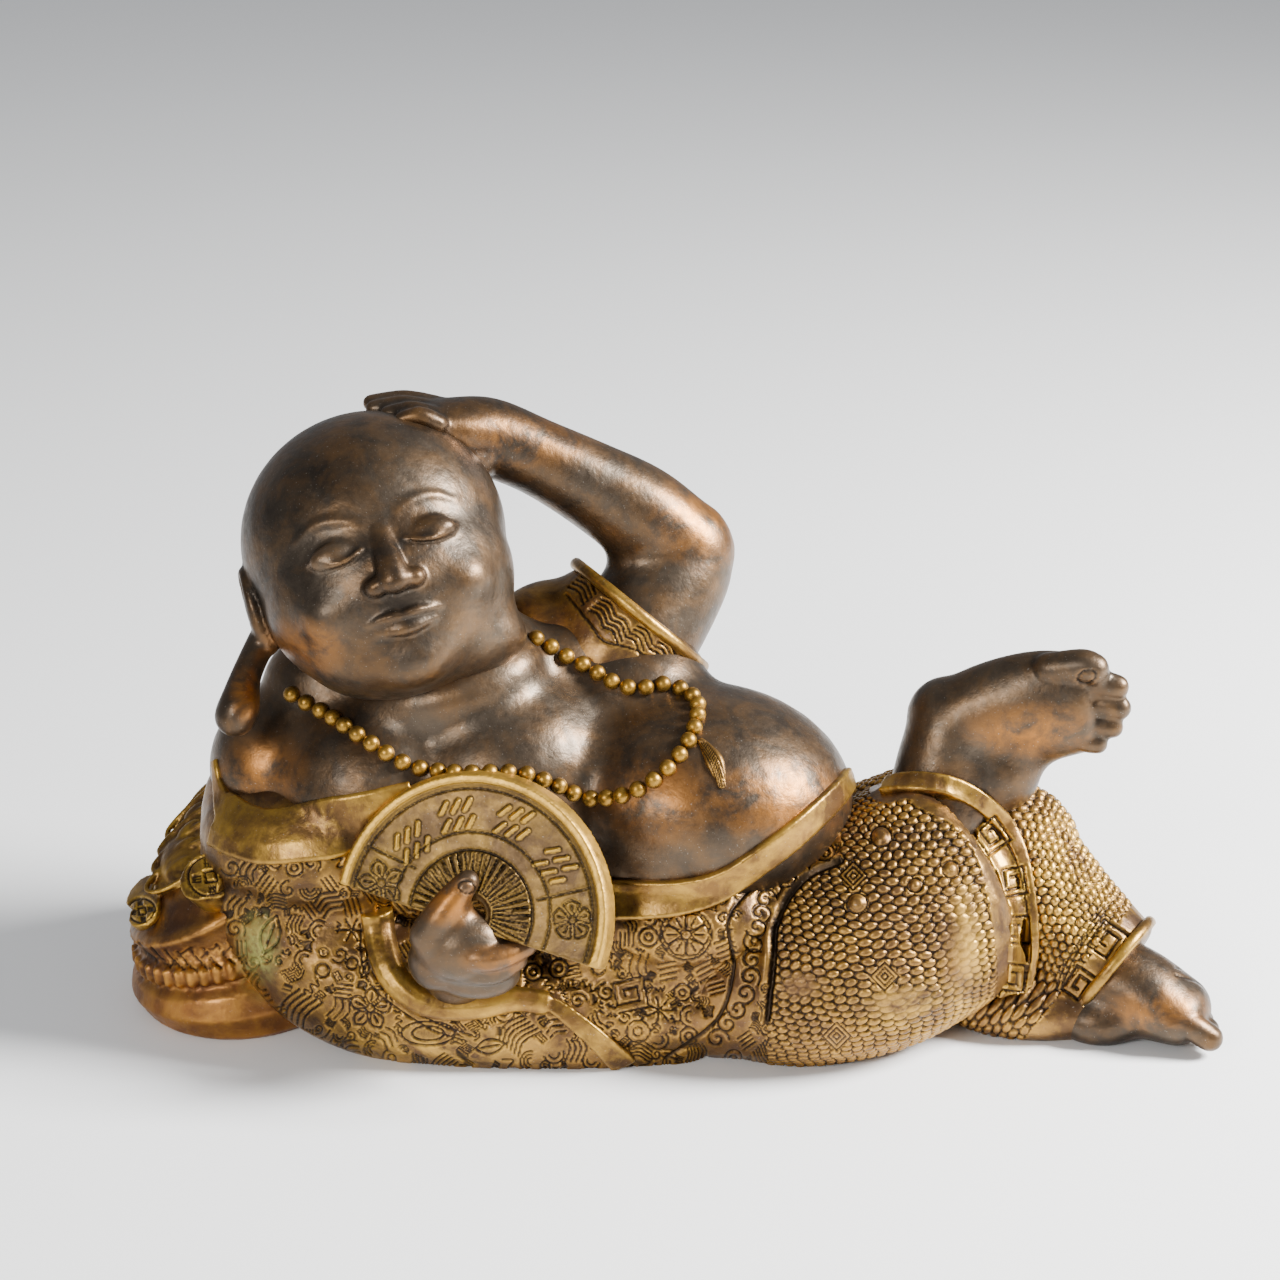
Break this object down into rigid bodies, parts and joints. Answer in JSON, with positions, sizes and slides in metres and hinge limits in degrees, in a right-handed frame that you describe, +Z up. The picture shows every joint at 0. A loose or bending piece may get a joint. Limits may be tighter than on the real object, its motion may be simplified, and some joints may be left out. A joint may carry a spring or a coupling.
{
  "type": "budai statue",
  "caption": "Reclining budai cast in bronze, one hand on the crown, the other holding a folding fan, leaning on a sack of coins and ingots.",
  "frame": {"origin": "on the flat underside, near the middle of the figure", "axes": "+Z up; the figure lies along X with its head at -X and its feet at +X; its front faces -Y"},
  "size_m": [0.2499, 0.1031, 0.1419],
  "materials": {
    "patinated_bronze": "satin, dark brown patina with gilding worn back to the hems and high points"
  },
  "bodies": {
    "root": {"budai_statue": "patinated_bronze"}
  },
  "joints": []
}
